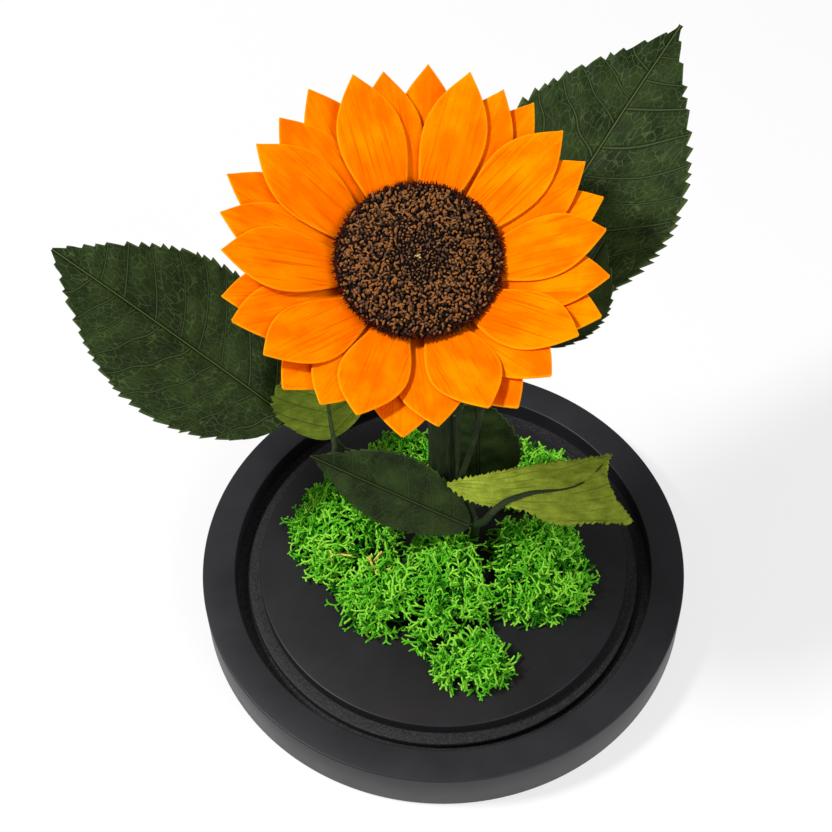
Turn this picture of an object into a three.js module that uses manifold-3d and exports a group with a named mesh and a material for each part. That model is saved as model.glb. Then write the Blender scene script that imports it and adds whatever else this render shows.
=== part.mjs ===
// A preserved sunflower display: one bloom on a ribbed stem, a thin twig of serrated leaves and
// cushions of reindeer moss, standing on a round turned base with a groove for a glass dome.
//
// Millimetres, +Z up. The origin is the centre of the base's flat underside, and the bloom leans
// towards -Y, the front of the display.

import * as THREE from "three";
import { mergeVertices } from "three/addons/utils/BufferGeometryUtils.js";
import Module from "manifold-3d";

const wasm = await Module();
wasm.setup();

// ---------------------------------------------------------------- driving dimensions

const GAP = 0.3; // clearance between pieces that meet
const REST_GAP = 0.05; // clearance under what stands on the plateau

// Turned base: a rim, a stepped groove for the dome, and a plateau that carries the plant.
const BASE_RADIUS = 75;
const RIM_TOP = 16;
const RIM_WIDTH = 10.2;
const GROOVE_WIDTH = 3.8;
const LEDGE_WIDTH = 3.8;
const GROOVE_DEPTH = 7;
const LEDGE_DEPTH = 4.6;
const PLATEAU_DROP = 0.5;
const EDGE_CHAMFER = 0.5;
const BASE_SEGMENTS = 64;

const RIM_INNER = BASE_RADIUS - RIM_WIDTH;
const LEDGE_OUTER = RIM_INNER - GROOVE_WIDTH;
const PLATEAU_RADIUS = LEDGE_OUTER - LEDGE_WIDTH;
const GROOVE_FLOOR = RIM_TOP - GROOVE_DEPTH;
const LEDGE_TOP = RIM_TOP - LEDGE_DEPTH;
const PLATEAU_TOP = RIM_TOP - PLATEAU_DROP;
const GROUND = PLATEAU_TOP + REST_GAP;

// Bloom: the middle of its disc, and where the disc faces.
const BLOOM_CENTRE = new THREE.Vector3(-5.6, 5, 153);
const BLOOM_RISE = THREE.MathUtils.degToRad(72.5); // how far the disc's axis rises above level
const BLOOM_TURN = THREE.MathUtils.degToRad(3); // and its turn to the right of straight ahead
const DISC_RADIUS = 21.9;
const DISC_DOME = 1.8; // height of the disc's middle over its plane
const DISC_LIP = 0.4; // and how far its edge lies under that plane
const DISC_EDGE = 1.1;
const DISC_DEPTH = 3.9;
const CALYX_DEPTH = 25;
const CALYX_RADIUS = 22.5;
const CALYX_RIM = 12.2; // how far the calyx's widest ring lies under the disc's plane
const CALYX_NECK = 0.6; // how much thicker than the stem the calyx starts
const PETALS_PER_LAYER = 10;
const PETAL_ROOT = 17; // radius at which every petal starts, hidden under the disc
const PETAL_THICKNESS = 0.8;
const PETAL_WIDTH = 17.6;
const PETAL_DROOP = 0.5; // how far a petal's edges lie under its middle
const PETAL_RING_SHIFT = -1.2; // the ring of petals sits a little to the left of the disc
const LAYER_DROP = 2.6; // from each layer of petals down to the next
const FIRST_PETAL = THREE.MathUtils.degToRad(106);
const LAYER_TURN = THREE.MathUtils.degToRad(-12);
const LAYERS = [
  { name: "front", tip: 48, slope: 0.57 },
  { name: "middle", tip: 48.5, slope: 0.59 },
  { name: "back", tip: 50, slope: 0.6 },
]; // the radius of the tips, and a petal's rise for each millimetre outwards

// Stem and twig.
const STEM_RADIUS = 3.75;
const STEM_RIBS = 9;
const STEM_TAPER = 0.05; // thicker at the foot and thinner at the neck by this share
const RIB_DEPTH = 0.04;
const NECK_LENGTH = 12; // straight run under the calyx
const STEM_FOOT = [0.3, 14, GROUND];
const STEM_LOW = [0.2, 14.3, 45];
const STEM_HIGH = [-0.6, 15.4, 85];
const TWIG_ROUTE = [[9.8, 3.6, GROUND], [9.8, 3.6, 20], [10, 2.6, 27], [10.2, 1.2, 33.4]];
const TWIG_RADIUS = 1.5;
const STALK_RADIUS = 0.85;

// ---------------------------------------------------------------- materials

const paint = (color, roughness) => new THREE.MeshStandardMaterial({ color, roughness, metalness: 0 });

const BLACK_PAINT = () => paint(0x2b2b2e, 0.6);
const ORANGE_FELT = () => paint(0xff9a0c, 0.9);
const SEED_BROWN = () => paint(0x4a2a17, 0.95);
const CALYX_GREEN = () => paint(0x3d5a24, 0.85);
const STEM_GREEN = () => paint(0x2c3a1e, 0.7);
const TWIG_GREEN = () => paint(0x22301a, 0.7);
const LEAF_GREEN = () => paint(0x2a3d22, 0.55);
const LEAF_UNDERSIDE = () => paint(0x7d8f2c, 0.75);
const MOSS_GREEN = () => paint(0x46a829, 0.9);

// ---------------------------------------------------------------- building blocks

const vector = (p) => new THREE.Vector3(...p);

function mesh(name, geometry, material) {
  const made = new THREE.Mesh(geometry, material);
  made.name = name;
  return made;
}

// A turned solid from [radius, height] pairs that start and end on the axis or close on themselves.
function turned(profile, segments) {
  const points = profile.map(([radius, height]) => new THREE.Vector2(radius, height));
  return new THREE.LatheGeometry(points, segments).rotateX(Math.PI / 2);
}

// A three.js geometry as a manifold-3d solid.
function toSolid(geometry) {
  const bare = geometry.clone();
  bare.deleteAttribute("normal");
  bare.deleteAttribute("uv");
  const merged = mergeVertices(bare, 1e-4);
  return new wasm.Manifold(
    new wasm.Mesh({
      numProp: 3,
      vertProperties: merged.attributes.position.array,
      triVerts: new Uint32Array(merged.index.array),
    }),
  );
}

// A manifold-3d solid as a three.js geometry.
function toGeometry(solid) {
  const { vertProperties, triVerts } = solid.getMesh();
  const geometry = new THREE.BufferGeometry();
  geometry.setAttribute("position", new THREE.BufferAttribute(vertProperties, 3));
  geometry.setIndex(new THREE.BufferAttribute(triVerts, 1));
  geometry.computeVertexNormals();
  return geometry;
}

// Moves every vertex of a geometry by a rule.
function reshape(geometry, rule) {
  const position = geometry.attributes.position;
  const point = new THREE.Vector3();
  for (let i = 0; i < position.count; i++) {
    point.fromBufferAttribute(position, i);
    rule(point);
    position.setXYZ(i, point.x, point.y, point.z);
  }
  geometry.computeVertexNormals();
  return geometry;
}

// A round limb along a smooth curve through the points, its radius given along its length.
function limb(points, radiusAt, sides, steps, ribs = 0) {
  const curve = new THREE.CatmullRomCurve3(points.map(vector));
  const frames = curve.computeFrenetFrames(steps, false);
  const rod = new THREE.CylinderGeometry(1, 1, 1, sides, steps);
  return reshape(rod, (point) => {
    const share = point.y + 0.5;
    const index = Math.round(share * steps);
    const angle = Math.atan2(point.z, point.x);
    const reach = Math.hypot(point.x, point.z);
    const radius = reach * radiusAt(share) * (1 + (ribs ? RIB_DEPTH * Math.cos(ribs * angle) : 0));
    const middle = curve.getPointAt(share);
    point.copy(middle);
    point.addScaledVector(frames.normals[index], -radius * Math.cos(angle));
    point.addScaledVector(frames.binormals[index], radius * Math.sin(angle));
  });
}

// ---------------------------------------------------------------- base

function baseNodes() {
  const slab = turned(
    [
      [0, 0],
      [BASE_RADIUS - 2 * EDGE_CHAMFER, 0],
      [BASE_RADIUS, 2 * EDGE_CHAMFER],
      [BASE_RADIUS, GROOVE_FLOOR],
      [LEDGE_OUTER, GROOVE_FLOOR],
      [LEDGE_OUTER, LEDGE_TOP],
      [0, LEDGE_TOP],
    ],
    BASE_SEGMENTS,
  );
  const rim = turned(
    [
      [RIM_INNER, GROOVE_FLOOR],
      [BASE_RADIUS, GROOVE_FLOOR],
      [BASE_RADIUS, RIM_TOP - EDGE_CHAMFER],
      [BASE_RADIUS - EDGE_CHAMFER, RIM_TOP],
      [RIM_INNER + EDGE_CHAMFER, RIM_TOP],
      [RIM_INNER, RIM_TOP - EDGE_CHAMFER],
      [RIM_INNER, GROOVE_FLOOR],
    ],
    BASE_SEGMENTS,
  );
  const plateau = turned(
    [
      [0, LEDGE_TOP],
      [PLATEAU_RADIUS, LEDGE_TOP],
      [PLATEAU_RADIUS, PLATEAU_TOP - EDGE_CHAMFER],
      [PLATEAU_RADIUS - EDGE_CHAMFER, PLATEAU_TOP],
      [0, PLATEAU_TOP],
    ],
    BASE_SEGMENTS,
  );
  return [
    mesh("base_slab", slab, BLACK_PAINT()),
    mesh("base_rim", rim, BLACK_PAINT()),
    mesh("base_plateau", plateau, BLACK_PAINT()),
  ];
}

// ---------------------------------------------------------------- bloom

// Where the disc faces, as a direction.
const BLOOM_AXIS = new THREE.Vector3(
  Math.cos(BLOOM_RISE) * Math.sin(BLOOM_TURN),
  -Math.cos(BLOOM_RISE) * Math.cos(BLOOM_TURN),
  Math.sin(BLOOM_RISE),
);

// A petal's width along it, as a share of its widest: narrow at its root, fullest before the
// middle, and drawn in to the tip by curved edges.
const petalFullness = (along) => Math.sin(Math.PI * (0.22 + 0.775 * along) ** 1.5) ** (0.72 + 0.28 * along);

// One petal along +X.
function petalGeometry({ tip, slope }, root) {
  const length = tip - PETAL_ROOT;
  const blade = new THREE.BoxGeometry(1, 1, 1, 6, 2, 1);
  return reshape(blade, (point) => {
    const along = point.x + 0.5;
    const across = 2 * point.y;
    point.x = PETAL_ROOT + along * length;
    point.y = across * (PETAL_WIDTH / 2) * petalFullness(along);
    point.z = point.z * PETAL_THICKNESS + root + slope * along * length - PETAL_DROOP * across ** 2;
  });
}

// Height of the disc over its plane, at a share of its radius.
const discHeight = (share) => DISC_DOME - (DISC_DOME + DISC_LIP) * share ** 3;

// The calyx's outside from its neck to its widest ring, as a quarter round.
function calyxSide(steps) {
  const neck = STEM_RADIUS + CALYX_NECK;
  return Array.from({ length: steps + 1 }, (_, step) => {
    const turn = (step / steps) * (Math.PI / 2);
    const radius = neck + (CALYX_RADIUS - neck) * Math.sin(turn);
    return [radius, -CALYX_RIM - (CALYX_DEPTH - CALYX_RIM) * Math.cos(turn)];
  });
}

function bloom() {
  const group = new THREE.Group();
  group.position.copy(BLOOM_CENTRE);
  const across = new THREE.Vector3(0, 0, 1).cross(BLOOM_AXIS).normalize();
  const upward = BLOOM_AXIS.clone().cross(across);
  group.quaternion.setFromRotationMatrix(new THREE.Matrix4().makeBasis(across, upward, BLOOM_AXIS));

  const disc = turned(
    [
      [0, -DISC_DEPTH],
      [PETAL_ROOT - 1, -DISC_DEPTH],
      [DISC_RADIUS, -DISC_EDGE],
      ...[1, 0.8, 0.5, 0].map((share) => [DISC_RADIUS * share, discHeight(share)]),
    ],
    40,
  );
  group.add(mesh("flower_disc", disc, SEED_BROWN()));

  const hub = PETAL_ROOT + PETAL_RING_SHIFT - GAP;
  const calyx = turned(
    [
      [0, -CALYX_DEPTH],
      ...calyxSide(3),
      [hub, -CALYX_RIM - GAP],
      [hub, -DISC_DEPTH - GAP],
      [0, -DISC_DEPTH - GAP],
    ],
    30,
  );
  group.add(mesh("calyx", calyx, CALYX_GREEN()));

  LAYERS.forEach((layer, row) => {
    for (let k = 0; k < PETALS_PER_LAYER; k++) {
      const name = `petal_${layer.name}_${String(k + 1).padStart(2, "0")}`;
      const petal = mesh(name, petalGeometry(layer, -LAYER_DROP * (row + 2)), ORANGE_FELT());
      petal.position.x = PETAL_RING_SHIFT;
      petal.rotation.z = FIRST_PETAL + row * LAYER_TURN - (k * 2 * Math.PI) / PETALS_PER_LAYER;
      group.add(petal);
    }
  });
  return group;
}

// ---------------------------------------------------------------- stem and stalks

function stemNode() {
  const top = BLOOM_CENTRE.clone().addScaledVector(BLOOM_AXIS, -CALYX_DEPTH - GAP);
  const neck = top.clone().addScaledVector(BLOOM_AXIS, -NECK_LENGTH);
  const route = [STEM_FOOT, STEM_LOW, STEM_HIGH, neck.toArray(), top.toArray()];
  const radiusAt = (share) => STEM_RADIUS * (1 + STEM_TAPER - 2 * STEM_TAPER * share);
  return mesh("stem", limb(route, radiusAt, 18, 12, STEM_RIBS), STEM_GREEN());
}

// The twig and the stalks that carry the leaves, each with its route and its radius at both ends.
const STALKS = [
  {
    name: "twig_foot",
    route: TWIG_ROUTE,
    radius: [TWIG_RADIUS, 1.2],
  },
  {
    name: "twig_rise",
    route: [[9.6, 2.2, 36], [8.4, 4.6, 39.4], [5.9, 7.8, 44.6], [5.2, 8.7, 46.4]],
    radius: [1.1, 1],
  },
  {
    name: "stalk_high",
    route: [[5.9, 8.8, 48.4], [8.4, 8.6, 62], [11.4, 9, 81], [14, 12.6, 98], [16.6, 19.6, 114.6]],
    radius: [0.95, STALK_RADIUS],
  },
  {
    name: "stalk_upright",
    route: [[4.4, 10.4, 48.8], [5, 10.6, 66], [5.6, 11, 82], [10.6, 9, 98], [21.6, 5.6, 111.6]],
    radius: [STALK_RADIUS, STALK_RADIUS],
  },
  {
    name: "stalk_left",
    route: [[-4.9, 15, 30], [-12.6, 20, 38.6], [-21.6, 22, 42.6], [-29, 20.6, 47.4], [-31.6, 18.2, 56]],
    radius: [STALK_RADIUS, STALK_RADIUS],
  },
  {
    name: "stalk_left_tip",
    route: [[-33.6, 19, 58], [-38, 19.8, 61.4], [-43.4, 19.6, 65]],
    radius: [0.8, 0.7],
  },
  {
    name: "stalk_low_right",
    route: [[11.4, -0.4, 36], [13.6, -0.8, 39.4], [16.4, -1.4, 43], [17.8, -1.6, 44.6]],
    radius: [1, 0.8],
  },
];

function stalkNode({ name, route, radius }) {
  const [foot, end] = radius;
  return mesh(name, limb(route, (s) => foot + (end - foot) * s, 8, 3 * (route.length - 1)), TWIG_GREEN());
}

// ---------------------------------------------------------------- leaves

// Each leaf runs from its base to its tip. Facing is roughly where its upper side looks, arch is
// how far its middle rises, and bias how much wider one half is than the other. A low peak puts
// the widest place near the base, and taper draws the tip out to a point.
const LEAVES = [
  {
    name: "leaf_upper_right",
    base: [18.3, 23, 116.4],
    tip: [67.7, 78.6, 162.2],
    width: 56,
    facing: [-0.1, -0.5, 0.86],
    arch: 3,
    bias: -0.06,
    peak: 0.75,
    taper: 0.6,
  },
  {
    name: "leaf_left",
    base: [-44.6, 19.5, 66.2],
    tip: [-108.1, 42, 118.5],
    width: 48.5,
    facing: [0.1, -0.5, 0.86],
    arch: 3,
    bias: -0.02,
    peak: 0.88,
    taper: 0.36,
  },
  {
    name: "leaf_left_inner",
    base: [-32.2, 16.6, 59.4],
    tip: [-33.4, 25, 94],
    width: 33,
    facing: [-0.4, 0.95, -0.3],
    arch: 2,
    bias: 0,
    peak: 0.9,
    taper: 0.5,
  },
  {
    name: "leaf_low_left",
    base: [8, -0.9, 36.2],
    tip: [-39.1, 12.2, 56.8],
    width: 22.5,
    facing: [0.11, -0.71, 0.7],
    arch: 0.6,
    bias: -0.1,
    peak: 0.9,
    taper: 0.5,
  },
  {
    name: "leaf_behind_stem",
    base: [11.8, 19.6, 26],
    tip: [11, 25, 70],
    width: 27,
    facing: [0, -0.9, 0.4],
    arch: 1,
    bias: 0,
    peak: 0.8,
    taper: 0.5,
  },
  {
    name: "leaf_under_bloom",
    base: [26.6, 5.3, 116],
    tip: [43.9, 23.6, 137],
    width: 22.5,
    facing: [0, -0.6, 0.8],
    arch: 1,
    bias: 0,
    peak: 0.9,
    taper: 0.4,
  },
];

const LEAF_THICKNESS = 0.8;
const LEAF_FOLD = 0.06; // how far a leaf's halves lift for each millimetre from its midrib
const LEAF_TIP_SHARE = 0.02; // the tip's width as a share of the leaf's

// Sets a leaf's geometry, which lies along +X and faces +Z, at its place.
function placeLeaf(name, geometry, base, run, facing, material) {
  const forward = run.clone().normalize();
  const sideways = vector(facing).cross(forward).normalize();
  const upward = forward.clone().cross(sideways);
  const leaf = mesh(name, geometry, material);
  leaf.position.copy(vector(base));
  leaf.quaternion.setFromRotationMatrix(new THREE.Matrix4().makeBasis(forward, sideways, upward));
  return leaf;
}

function leafNode({ name, base, tip, width, facing, arch, bias, peak, taper }) {
  const run = vector(tip).sub(vector(base));
  const length = run.length();
  const blade = new THREE.BoxGeometry(1, 1, 1, 10, 4, 1);
  reshape(blade, (point) => {
    const along = point.x + 0.5;
    const across = 2 * point.y;
    const swell = Math.sin(Math.PI * along ** peak) ** (0.6 + taper * along);
    const half = (width / 2) * Math.max(swell, LEAF_TIP_SHARE) * (1 + bias * Math.sign(across));
    const side = across * half;
    point.x = along * length;
    point.y = side;
    point.z = point.z * LEAF_THICKNESS + LEAF_FOLD * Math.abs(side) + 4 * arch * along * (1 - along);
  });
  return placeLeaf(name, blade, base, run, facing, LEAF_GREEN());
}

// The curled leaf at the lower right lies with its underside up. In its own plane it runs along +X
// from the tip of its left lobe to its drooping corner, and its tip stands up beside that corner.
const CURLED_LEAF = {
  base: [1.5, 6, 49.6],
  run: [0.97, -0.2, -0.09],
  facing: [0, -0.43, 0.91],
  length: 56.5, // to the drooping corner
  tip: [47, 19],
  belly: 4.9, // how far the near edge bows out
  lobes: 0.22, // how much of that comes and goes along the edge
  hollow: 4.3, // how far the end between the tip and the corner is cut in
};

// Evenly spaced shares between 0 and 1, with neither end.
const sharesInside = (count) => Array.from({ length: count }, (_, k) => (k + 1) / (count + 1));

// The near edge bows out in two lobes, the end is hollow, and the far edge rises to the tip.
function curledOutline({ length, tip, belly, lobes, hollow }) {
  const [tipX, tipY] = tip;
  const near = sharesInside(7).map((share) => {
    const lobe = 1 + lobes * Math.cos((2 * Math.PI * (share - 0.17)) / 0.46);
    return [length * share, -belly * Math.sin(Math.PI * share) ** 0.4 * lobe];
  });
  const end = sharesInside(3).map((share) => {
    return [length + (tipX - length) * share - hollow * Math.sin(Math.PI * share), tipY * share];
  });
  const far = sharesInside(4).map((share) => [tipX * (1 - share), tipY * (1 - share) ** 0.9]);
  return [[0, 0], ...near, [length, 0], ...end, tip, ...far];
}

function curledLeafNode(leaf) {
  const shape = new THREE.Shape(curledOutline(leaf).map(([x, y]) => new THREE.Vector2(x, y)));
  const blade = new THREE.ExtrudeGeometry(shape, { depth: LEAF_THICKNESS, bevelEnabled: false });
  return placeLeaf("leaf_low_right", blade, leaf.base, vector(leaf.run), leaf.facing, LEAF_UNDERSIDE());
}

// ---------------------------------------------------------------- moss

// Each cushion of moss: its middle on the plateau, its half sizes along, across and up, its turn
// in degrees, and the phase of its lumps.
const CUSHIONS = [
  { name: "moss_right", middle: [27.5, -6], half: [18, 18.5, 16], turn: 0, phase: 1 },
  { name: "moss_left", middle: [-31, 10.5], half: [17, 18, 15], turn: 0, phase: 2 },
  { name: "moss_front_left", middle: [-18, -14], half: [17, 14, 15], turn: -15, phase: 3 },
  { name: "moss_front", middle: [0, -13], half: [17, 22, 15], turn: 0, phase: 4 },
  { name: "moss_front_tip", middle: [7.5, -37.5], half: [11, 10, 11], turn: 0, phase: 5 },
  { name: "moss_back_left", middle: [-9, 35], half: [13, 12, 12], turn: 0, phase: 6 },
  { name: "moss_back_right", middle: [28, 30], half: [14, 11, 12], turn: 0, phase: 7 },
];
const LUMP = 0.09; // depth of the lumps as a share of the cushion's size

function cushionGeometry({ middle, half, turn, phase }, grow) {
  const ball = new THREE.SphereGeometry(1, 13, 10);
  const spin = THREE.MathUtils.degToRad(turn);
  return reshape(ball, (point) => {
    const broad = Math.sin(3 * point.x + phase) * Math.cos(3 * point.y - phase);
    const swell = 1 + LUMP * (broad + 0.5 * Math.sin(5 * point.z + phase));
    const x = point.x * (half[0] * swell + grow);
    const y = point.y * (half[1] * swell + grow);
    point.z = PLATEAU_TOP + point.z * (half[2] * swell + grow);
    point.x = middle[0] + x * Math.cos(spin) - y * Math.sin(spin);
    point.y = middle[1] + x * Math.sin(spin) + y * Math.cos(spin);
  });
}

// The cushions rest flat on the plateau, and each is cut round its neighbours, the stem, the
// twig and the leaves that lie against it.
function mossNodes(neighbours) {
  const room = new THREE.BoxGeometry(2 * BASE_RADIUS, 2 * BASE_RADIUS, 2 * BASE_RADIUS);
  room.translate(0, 0, GROUND + BASE_RADIUS);
  const above = toSolid(room);
  const taken = [...neighbours];
  return CUSHIONS.map((cushion) => {
    let body = toSolid(cushionGeometry(cushion, 0)).intersect(above);
    for (const other of taken) body = body.subtract(other);
    const largest = body.decompose().sort((a, b) => b.volume() - a.volume())[0];
    taken.push(toSolid(cushionGeometry(cushion, GAP)));
    return mesh(cushion.name, toGeometry(largest), MOSS_GREEN());
  });
}

// ---------------------------------------------------------------- assembly

const plant = new THREE.Group();
plant.add(...baseNodes(), bloom(), stemNode(), ...STALKS.map(stalkNode));
plant.add(...LEAVES.map(leafNode), curledLeafNode(CURLED_LEAF));

// The moss keeps clear of the stem and the twig, which pass down through it.
const below = ([x, y]) => [x, y, 0];
const clearances = [
  limb([below(STEM_FOOT), STEM_LOW], () => STEM_RADIUS + 2 * GAP, 16, 2),
  limb([below(TWIG_ROUTE[0]), ...TWIG_ROUTE.slice(1)], () => TWIG_RADIUS + 2 * GAP, 10, 4),
].map(toSolid);
plant.add(...mossNodes(clearances));

export default plant;
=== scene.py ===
"""A preserved sunflower display: a felt-petalled bloom on a ribbed stem, serrated leaves on a thin
twig and cushions of reindeer moss, on a black turned base with a groove for a glass dome.

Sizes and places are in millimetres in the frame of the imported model, and become metres where a
mesh is made. What is random is seeded."""

import math

import bpy
import numpy as np
from mathutils import Matrix, Vector
from mathutils.bvhtree import BVHTree


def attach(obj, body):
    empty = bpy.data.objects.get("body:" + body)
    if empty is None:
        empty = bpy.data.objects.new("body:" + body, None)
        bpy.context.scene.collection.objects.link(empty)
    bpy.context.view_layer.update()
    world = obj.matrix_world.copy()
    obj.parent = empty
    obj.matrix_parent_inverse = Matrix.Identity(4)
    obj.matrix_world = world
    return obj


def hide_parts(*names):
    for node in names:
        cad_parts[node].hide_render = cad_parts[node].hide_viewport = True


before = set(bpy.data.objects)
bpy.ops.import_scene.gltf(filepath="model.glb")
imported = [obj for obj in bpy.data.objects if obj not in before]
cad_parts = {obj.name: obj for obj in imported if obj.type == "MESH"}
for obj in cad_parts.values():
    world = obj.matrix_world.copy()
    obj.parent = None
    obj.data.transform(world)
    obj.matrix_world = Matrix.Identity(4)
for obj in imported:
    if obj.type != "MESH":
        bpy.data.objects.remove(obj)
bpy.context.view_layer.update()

MM = 0.001
BODY = "root"


# ---- small helpers


def unit(vectors):
    """Vectors of length one along the last axis."""
    return vectors / np.maximum(np.linalg.norm(vectors, axis=-1, keepdims=True), 1e-9)


def xyz(x, y, z):
    """Points from their coordinates, any of which may be one number for all."""
    return np.stack(np.broadcast_arrays(x, y, z), -1)


def polar(radius, angle, height):
    """Points round the Z axis."""
    return xyz(radius * np.cos(angle), radius * np.sin(angle), height)


def linked(name, data):
    """A new object around its data, in the scene."""
    made = bpy.data.objects.new(name, data)
    bpy.context.collection.objects.link(made)
    return made


def turned_to(forward, facing):
    """The axes of a blade that runs along forward and faces roughly along facing, as rows."""
    forward = unit(np.array(forward, float))
    sideways = unit(np.cross(np.array(facing, float), forward))
    return np.array([forward, sideways, np.cross(forward, sideways)])


def waves(points, wavelength, seed, octaves=3):
    """Smooth seeded unevenness from -1 to 1 at each point, by sums of sines in random directions."""
    rng = np.random.default_rng(seed)
    total = np.zeros(points.shape[:-1])
    for octave in range(octaves):
        for _ in range(3):
            way = unit(rng.normal(size=3)) * 2 * math.pi * 2**octave / wavelength
            total += np.sin(points @ way + rng.uniform(0, 2 * math.pi)) / 2**octave
    return total / 5


def spline(points, steps):
    """A smooth curve through the points, as steps + 1 points."""
    points = np.array(points, float)
    padded = np.vstack([2 * points[0] - points[1], points, 2 * points[-1] - points[-2]])
    place = np.linspace(0, len(points) - 1, steps + 1)
    index = np.minimum(place.astype(int), len(points) - 2)
    u = (place - index)[:, None]
    p0, p1, p2, p3 = (padded[index + k] for k in range(4))
    return 0.5 * (
        2 * p1
        + (p2 - p0) * u
        + (2 * p0 - 5 * p1 + 4 * p2 - p3) * u**2
        + (3 * p1 - p0 - 3 * p2 + p3) * u**3
    )


# ---- meshes


def joined(parts):
    """Several (points, faces) pairs as one pair."""
    points, faces, start = [], [], 0
    for some_points, some_faces in parts:
        points.append(some_points)
        faces.append(np.where(some_faces >= 0, some_faces + start, -1))
        start += len(some_points)
    return np.vstack(points), np.vstack(faces)


def piece(name, shape, materials, replaced=(), kinds=None, values=None, sharp=None):
    """A visible piece from (points, faces): its materials and the nodes it replaces.

    A face has three or four corners, a three-cornered one ending in -1. kinds picks each face's
    material, values holds numbers for each point that its materials read, and edges sharper than
    sharp degrees stay hard."""
    points, faces = shape
    mesh = bpy.data.meshes.new(name)
    mesh.vertices.add(len(points))
    mesh.vertices.foreach_set("co", (points * MM).astype(np.float32).ravel())
    corners = faces[faces >= 0]
    sizes = (faces >= 0).sum(axis=1)
    mesh.loops.add(len(corners))
    mesh.loops.foreach_set("vertex_index", corners.astype(np.int32))
    mesh.polygons.add(len(faces))
    starts = np.concatenate([[0], np.cumsum(sizes)[:-1]])
    mesh.polygons.foreach_set("loop_start", starts.astype(np.int32))
    for each in materials:
        mesh.materials.append(each)
    if kinds is not None:
        mesh.polygons.foreach_set("material_index", np.asarray(kinds, np.int32))
    mesh.update(calc_edges=True)
    for key, numbers in (values or {}).items():
        kind, field = ("FLOAT", "value") if numbers.ndim == 1 else ("FLOAT_VECTOR", "vector")
        held = mesh.attributes.new(key, kind, "POINT").data
        held.foreach_set(field, numbers.astype(np.float32).ravel())
    mesh.shade_smooth()
    if sharp is not None:
        mesh.set_sharp_from_angle(angle=math.radians(sharp))
    made = linked(name, mesh)
    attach(made, BODY)
    if replaced:
        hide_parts(*replaced)


def ring_faces(rings, sides):
    """The faces of a closed stack of rings, whose two end points are numbered after the rings."""
    around = np.arange(sides)
    after = (around + 1) % sides
    faces = []
    for ring in range(rings - 1):
        low, high = ring * sides, (ring + 1) * sides
        faces.append(np.stack([low + around, low + after, high + after, high + around], 1))
    top, first = (rings - 1) * sides, rings * sides
    none = np.full(sides, -1)
    faces.append(np.stack([after, around, np.full(sides, first), none], 1))
    faces.append(np.stack([top + around, top + after, np.full(sides, first + 1), none], 1))
    return np.vstack(faces)


def lathe(profile, segments):
    """A closed turned shape from (radius, height) pairs that start and end on the axis."""
    inner = np.array(profile[1:-1], float)
    angles = np.arange(segments) * 2 * math.pi / segments
    rings = polar(inner[:, :1], angles, inner[:, 1:])
    ends = [[0, 0, profile[0][1]], [0, 0, profile[-1][1]]]
    return np.vstack([rings.reshape(-1, 3), ends]), ring_faces(len(inner), segments)


FOOT_BULGE = 0.5  # how far a tube's first end stands out, in radii
TIP_BULGE = 0.7


def tubes(paths, radii, sides, ribs=None):
    """Closed round tubes along many paths at once. ribs multiplies the radius round the section."""
    count, steps = radii.shape
    along = unit(np.gradient(paths, axis=1))
    chord = unit(paths[:, -1] - paths[:, 0])
    spare = np.eye(3)[np.abs(chord).argmin(axis=1)]
    aside = unit(np.cross(chord, spare))[:, None, :]
    normal = unit(aside - along * (aside * along).sum(axis=-1, keepdims=True))
    binormal = np.cross(along, normal)
    angles = np.arange(sides) * 2 * math.pi / sides
    reach = radii[:, :, None] * (1 if ribs is None else ribs(angles))
    rings = (
        paths[:, :, None, :]
        + (reach * np.cos(angles))[..., None] * normal[:, :, None, :]
        + (reach * np.sin(angles))[..., None] * binormal[:, :, None, :]
    )
    first = paths[:, 0] - along[:, 0] * radii[:, :1] * FOOT_BULGE
    last = paths[:, -1] + along[:, -1] * radii[:, -1:] * TIP_BULGE
    points = np.concatenate([rings.reshape(count, -1, 3), first[:, None], last[:, None]], axis=1)
    one = ring_faces(steps, sides)
    every = one + (np.arange(count) * points.shape[1])[:, None, None]
    return points.reshape(-1, 3), np.where(one >= 0, every, -1).reshape(-1, 4)


def faces_of_each(steps, sides):
    """How many faces one tube has."""
    return (steps + 1) * sides


def blade(upper, lower):
    """A closed blade from the grids of its upper and lower sides, which meet along their border."""
    rows, columns = upper.shape[:2]
    numbers = np.arange(rows * columns).reshape(rows, columns)
    under = numbers.copy()
    under[1:-1, 1:-1] = rows * columns + np.arange((rows - 2) * (columns - 2)).reshape(rows - 2, -1)
    points = np.vstack([upper.reshape(-1, 3), lower[1:-1, 1:-1].reshape(-1, 3)])
    quads = [
        np.stack([grid[:-1, :-1], grid[1:, :-1], grid[1:, 1:], grid[:-1, 1:]], -1).reshape(-1, 4)
        for grid in (numbers, under)
    ]
    return points, np.vstack([quads[0], quads[1][:, ::-1]])


def inner_part(grid):
    """1 inside a grid and 0 along its border, where a blade's two sides meet."""
    return np.pad(np.ones_like(grid[1:-1, 1:-1]), 1)


def blade_values(grid):
    """A blade's numbers for each point, from one grid that both of its sides share."""
    tail = grid.shape[2:]
    return np.concatenate([grid.reshape(-1, *tail), grid[1:-1, 1:-1].reshape(-1, *tail)])


# ---- materials


def colour(red, green, blue):
    """A screen colour from 0 to 255 as the linear colour that a shader reads."""
    made = []
    for part in (red, green, blue):
        part /= 255
        made.append(part / 12.92 if part <= 0.04045 else ((part + 0.055) / 1.055) ** 2.4)
    return (*made, 1.0)


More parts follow.
